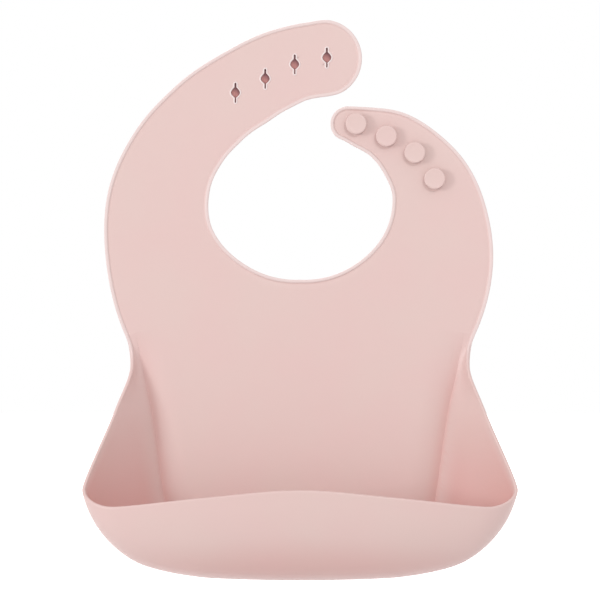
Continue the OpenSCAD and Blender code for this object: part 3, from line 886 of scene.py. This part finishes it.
def moulded_silicone():
    """Liquid silicone rubber moulded in an etched tool: soft and matte, with a
    faint bloom at glancing angles and a slightly uneven pink. A painted
    highlight makes it paler on its beads and hole lips, and painted shade makes it
    warmer, then darker, where its faces close in. Its etched grain, 0.2 mm, is drawn 0.8 mm wide to
    show."""
    material = bpy.data.materials.new("matte moulded silicone")
    material.use_nodes = True
    tree = material.node_tree
    tree.nodes.clear()
    where = add_node(tree, "ShaderNodeTexCoord", {}).outputs["Object"]
    rim = add_node(tree, "ShaderNodeAttribute", {}, attribute_name="rim").outputs["Fac"]
    deep = add_node(tree, "ShaderNodeAttribute", {}, attribute_name="deep").outputs["Fac"]
    cloud = add_node(tree, "ShaderNodeTexNoise",
                     {"Vector": where, "Scale": 1000 / CLOUD_MM, "Detail": 2.0})
    grain = add_node(tree, "ShaderNodeTexNoise",
                     {"Vector": where, "Scale": 1000 / GRAIN_MM, "Detail": 3.0})
    uneven = add_node(tree, "ShaderNodeMapRange",
                      {"Value": cloud.outputs["Fac"], "From Min": 0.35, "From Max": 0.65})
    # The rim tone mixes in a painted highlight. The shade tone mixes in painted shade, first warmer
    # and then darker.
    painted_rim_highlight = add_node(tree, "ShaderNodeMath", {0: rim, 1: 0.5}, operation="MULTIPLY")
    shade_warmth = add_node(tree, "ShaderNodeMapRange", {"Value": deep, "To Max": 4.0})
    shade_darkness = add_node(tree, "ShaderNodeMapRange", {"Value": deep, "From Min": 0.2})
    pink = linear("e1c5c1")
    for share, to in ((uneven, "e0c7c2"), (painted_rim_highlight, "eee3e2"), (shade_warmth, "d8958e"), (shade_darkness, "7a444a")):
        pink = add_node(tree, "ShaderNodeMix", {0: share, 6: pink, 7: linear(to)},
                        data_type="RGBA").outputs[2]
    rough = add_node(tree, "ShaderNodeMapRange",
                     {"Value": grain.outputs["Fac"], "To Min": 0.38, "To Max": 0.48})
    bump = add_node(tree, "ShaderNodeBump",
                    {"Height": grain.outputs["Fac"], "Strength": 0.12, "Distance": 0.0001})
    shader = add_node(tree, "ShaderNodeBsdfPrincipled",
                      {"Base Color": pink, "Roughness": rough, "Normal": bump, "IOR": 1.41,
                       "Specular IOR Level": 1.0, "Sheen Weight": 0.5, "Sheen Roughness": 0.35})
    add_node(tree, "ShaderNodeOutputMaterial", {"Surface": shader})
    return material


silicone = moulded_silicone()

# ---------------------------------------------------------------- the pieces
# Each lies between two columns of its half. Its two numbers are the rows up to
# the line M, and those of the strip outside that.
n_hole, n_stud = hole_side.seams, stud_side.seams
mirrored_holes = [p * np.array([-1, 1]) for p in hole_places]
hole_tip = arm_piece("hole_arm_end", hole_side, 0, n_hole[0], 46, 9, silicone, True, mirrored_holes)
hole_middle = arm_piece("hole_arm_bow", hole_side, n_hole[0], n_hole[1], 26, 5, silicone, True)
hole_root = arm_piece("hole_arm_shoulder", hole_side, n_hole[1], n_hole[2], 26, 5, silicone, True)
stud_tip = arm_piece("stud_arm_end", stud_side, 0, n_stud[0], 20, 5, silicone)
stud_middle = arm_piece("stud_arm_bow", stud_side, n_stud[0], n_stud[1], 22, 5, silicone)
stud_root = arm_piece("stud_arm_shoulder", stud_side, n_stud[1], n_stud[2], 26, 5, silicone)

chest_shell = Shell()
add_flat(chest_shell, stud_side, n_stud[2], len(stud_side.inner) - 1, 48, 5)
add_flat(chest_shell, hole_side, n_hole[2], len(hole_side.inner) - 1, 48, 5, mirror=True)
chest = chest_shell.make("chest_panel", silicone)
pocket = pocket_piece("scoop_pocket", silicone, 44)
studs = [stud_piece(f"button_{i}", p, silicone) for i, p in zip((1, 2, 3, 4), stud_places)]


def bend_arm(piece):
    """Bakes a piece's place into its mesh; it is not bent here."""
    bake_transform(piece)


bend_arm(hole_root)
bend_arm(hole_middle)
bend_arm(hole_tip)
bend_arm(stud_root)
bend_arm(stud_middle)
bend_arm(stud_tip)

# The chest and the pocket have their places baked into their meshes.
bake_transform(chest)
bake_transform(pocket)

STUD_BODIES = ["stud_arm_tip_link", "stud_arm_tip_link", "stud_arm_middle_link",
               "stud_arm_root_link"]
for stud, body in zip(studs, STUD_BODIES):
    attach(stud, body)

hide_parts("hole_arm_tip")
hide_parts("hole_arm_middle")
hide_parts("hole_arm_root")
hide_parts("stud_arm_tip")
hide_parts("stud_arm_middle")
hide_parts("stud_arm_root")
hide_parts("neck_panel", "lower_panel")
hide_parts("pocket_front", "left_gusset", "right_gusset")
for i, stud in zip((1, 2, 3, 4), studs):
    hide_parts(f"stud_{i}")


# ------------------------------------------------------- floor, light, view
# The room's light on the bib: how strong it is against the white that shows
# behind, and its slightly rosy colour
FILL = 0.82
ROSY = linear("fff9f8")
WHITE = linear("ffffff")
# Half the floor's width, in metres, and the room under the bib for the pocket,
# which swings lower than it hangs at rest
FLOOR_HALF, FLOOR_GAP = 3, 0.035


def seen_directly(tree):
    """1 for rays that show the background itself: camera, mirror and glass."""
    path = add_node(tree, "ShaderNodeLightPath", {}).outputs
    opaque = add_node(tree, "ShaderNodeMath", {0: path["Is Camera Ray"], 1: path["Is Glossy Ray"]},
                      operation="MAXIMUM")
    return add_node(tree, "ShaderNodeMath", {0: opaque, 1: path["Is Transmission Ray"]},
                    operation="MAXIMUM")


def pale_room():
    """A world that is plain white to look at, and lights the bib a little less
    and rosier."""
    world = bpy.data.worlds.new("pale room")
    world.use_nodes = True
    tree = world.node_tree
    tree.nodes.clear()
    seen = seen_directly(tree)
    strength = add_node(tree, "ShaderNodeMapRange", {"Value": seen, "To Min": FILL, "To Max": 1.0})
    tint = add_node(tree, "ShaderNodeMix", {0: seen, 6: ROSY, 7: WHITE}, data_type="RGBA")
    room = add_node(tree, "ShaderNodeBackground", {"Color": tint.outputs[2], "Strength": strength})
    add_node(tree, "ShaderNodeOutputWorld", {"Surface": room})
    return world


def white_paper():
    """A smooth matte paper sweep, which glows to look at, so that it shows
    plain white, but lights the bib as matte paper does."""
    paper = bpy.data.materials.new("white paper sweep")
    paper.use_nodes = True
    tree = paper.node_tree
    tree.nodes.clear()
    matte = add_node(tree, "ShaderNodeBsdfDiffuse", {"Color": linear("d4d1d1")})
    glow = add_node(tree, "ShaderNodeEmission", {"Color": WHITE, "Strength": 1.0})
    both = add_node(tree, "ShaderNodeAddShader", {0: matte, 1: glow})
    choice = add_node(tree, "ShaderNodeMixShader", {0: seen_directly(tree), 1: matte, 2: both})
    add_node(tree, "ShaderNodeOutputMaterial", {"Surface": choice})
    return paper


def paper_floor():
    """A square of paper under the bib."""
    low, far = cad_box[0][2] - FLOOR_GAP, FLOOR_HALF
    corners = [(-far, -far, low), (far, -far, low), (far, far, low), (-far, far, low)]
    mesh = bpy.data.meshes.new("floor")
    mesh.from_pydata(corners, [], [(0, 1, 2, 3)])
    mesh.materials.append(white_paper())
    return put_in_scene("floor", mesh)


bpy.context.scene.world = pale_room()
paper_floor()


# The place on the chest, in metres, that every lamp points at
AIM = np.array([0, 0, -0.06])


def lamp(name, place, size, watts):
    """A square soft light at a place, in metres, turned to face the aim."""
    light = bpy.data.lights.new(name, "AREA")
    light.size, light.energy = size, watts
    lit = put_in_scene(name, light)
    lit.location = place
    way = AIM - np.array(place, float)
    tilt = math.acos(-way[2] / np.linalg.norm(way))
    lit.rotation_euler = (tilt, 0, math.atan2(way[1], way[0]) - math.pi / 2)


lamp("window", (-3.06, -2.56, 0.29), 0.9, 38)
lamp("overhead", (0.59, -2.77, 0.92), 0.11, 11)
lamp("behind", (-0.7, 2.3, 1.9), 1.2, 30)

# The camera, in metres: its distance in front, its height, and the width of
# the frame at the bib. The sensor's width is in millimetres.
DISTANCE, HEIGHT, FRAME_WIDTH = 1.5, -0.0589, 0.3214
SENSOR = 36
camera = put_in_scene("camera", bpy.data.cameras.new("camera"))
camera.location = (0, -DISTANCE, HEIGHT)
camera.rotation_euler = (math.pi / 2, 0, 0)
camera.data.sensor_width = SENSOR
camera.data.lens = SENSOR * DISTANCE / FRAME_WIDTH
camera.data.clip_end = 20
bpy.context.scene.camera = camera
bpy.context.scene.view_settings.view_transform = "Standard"
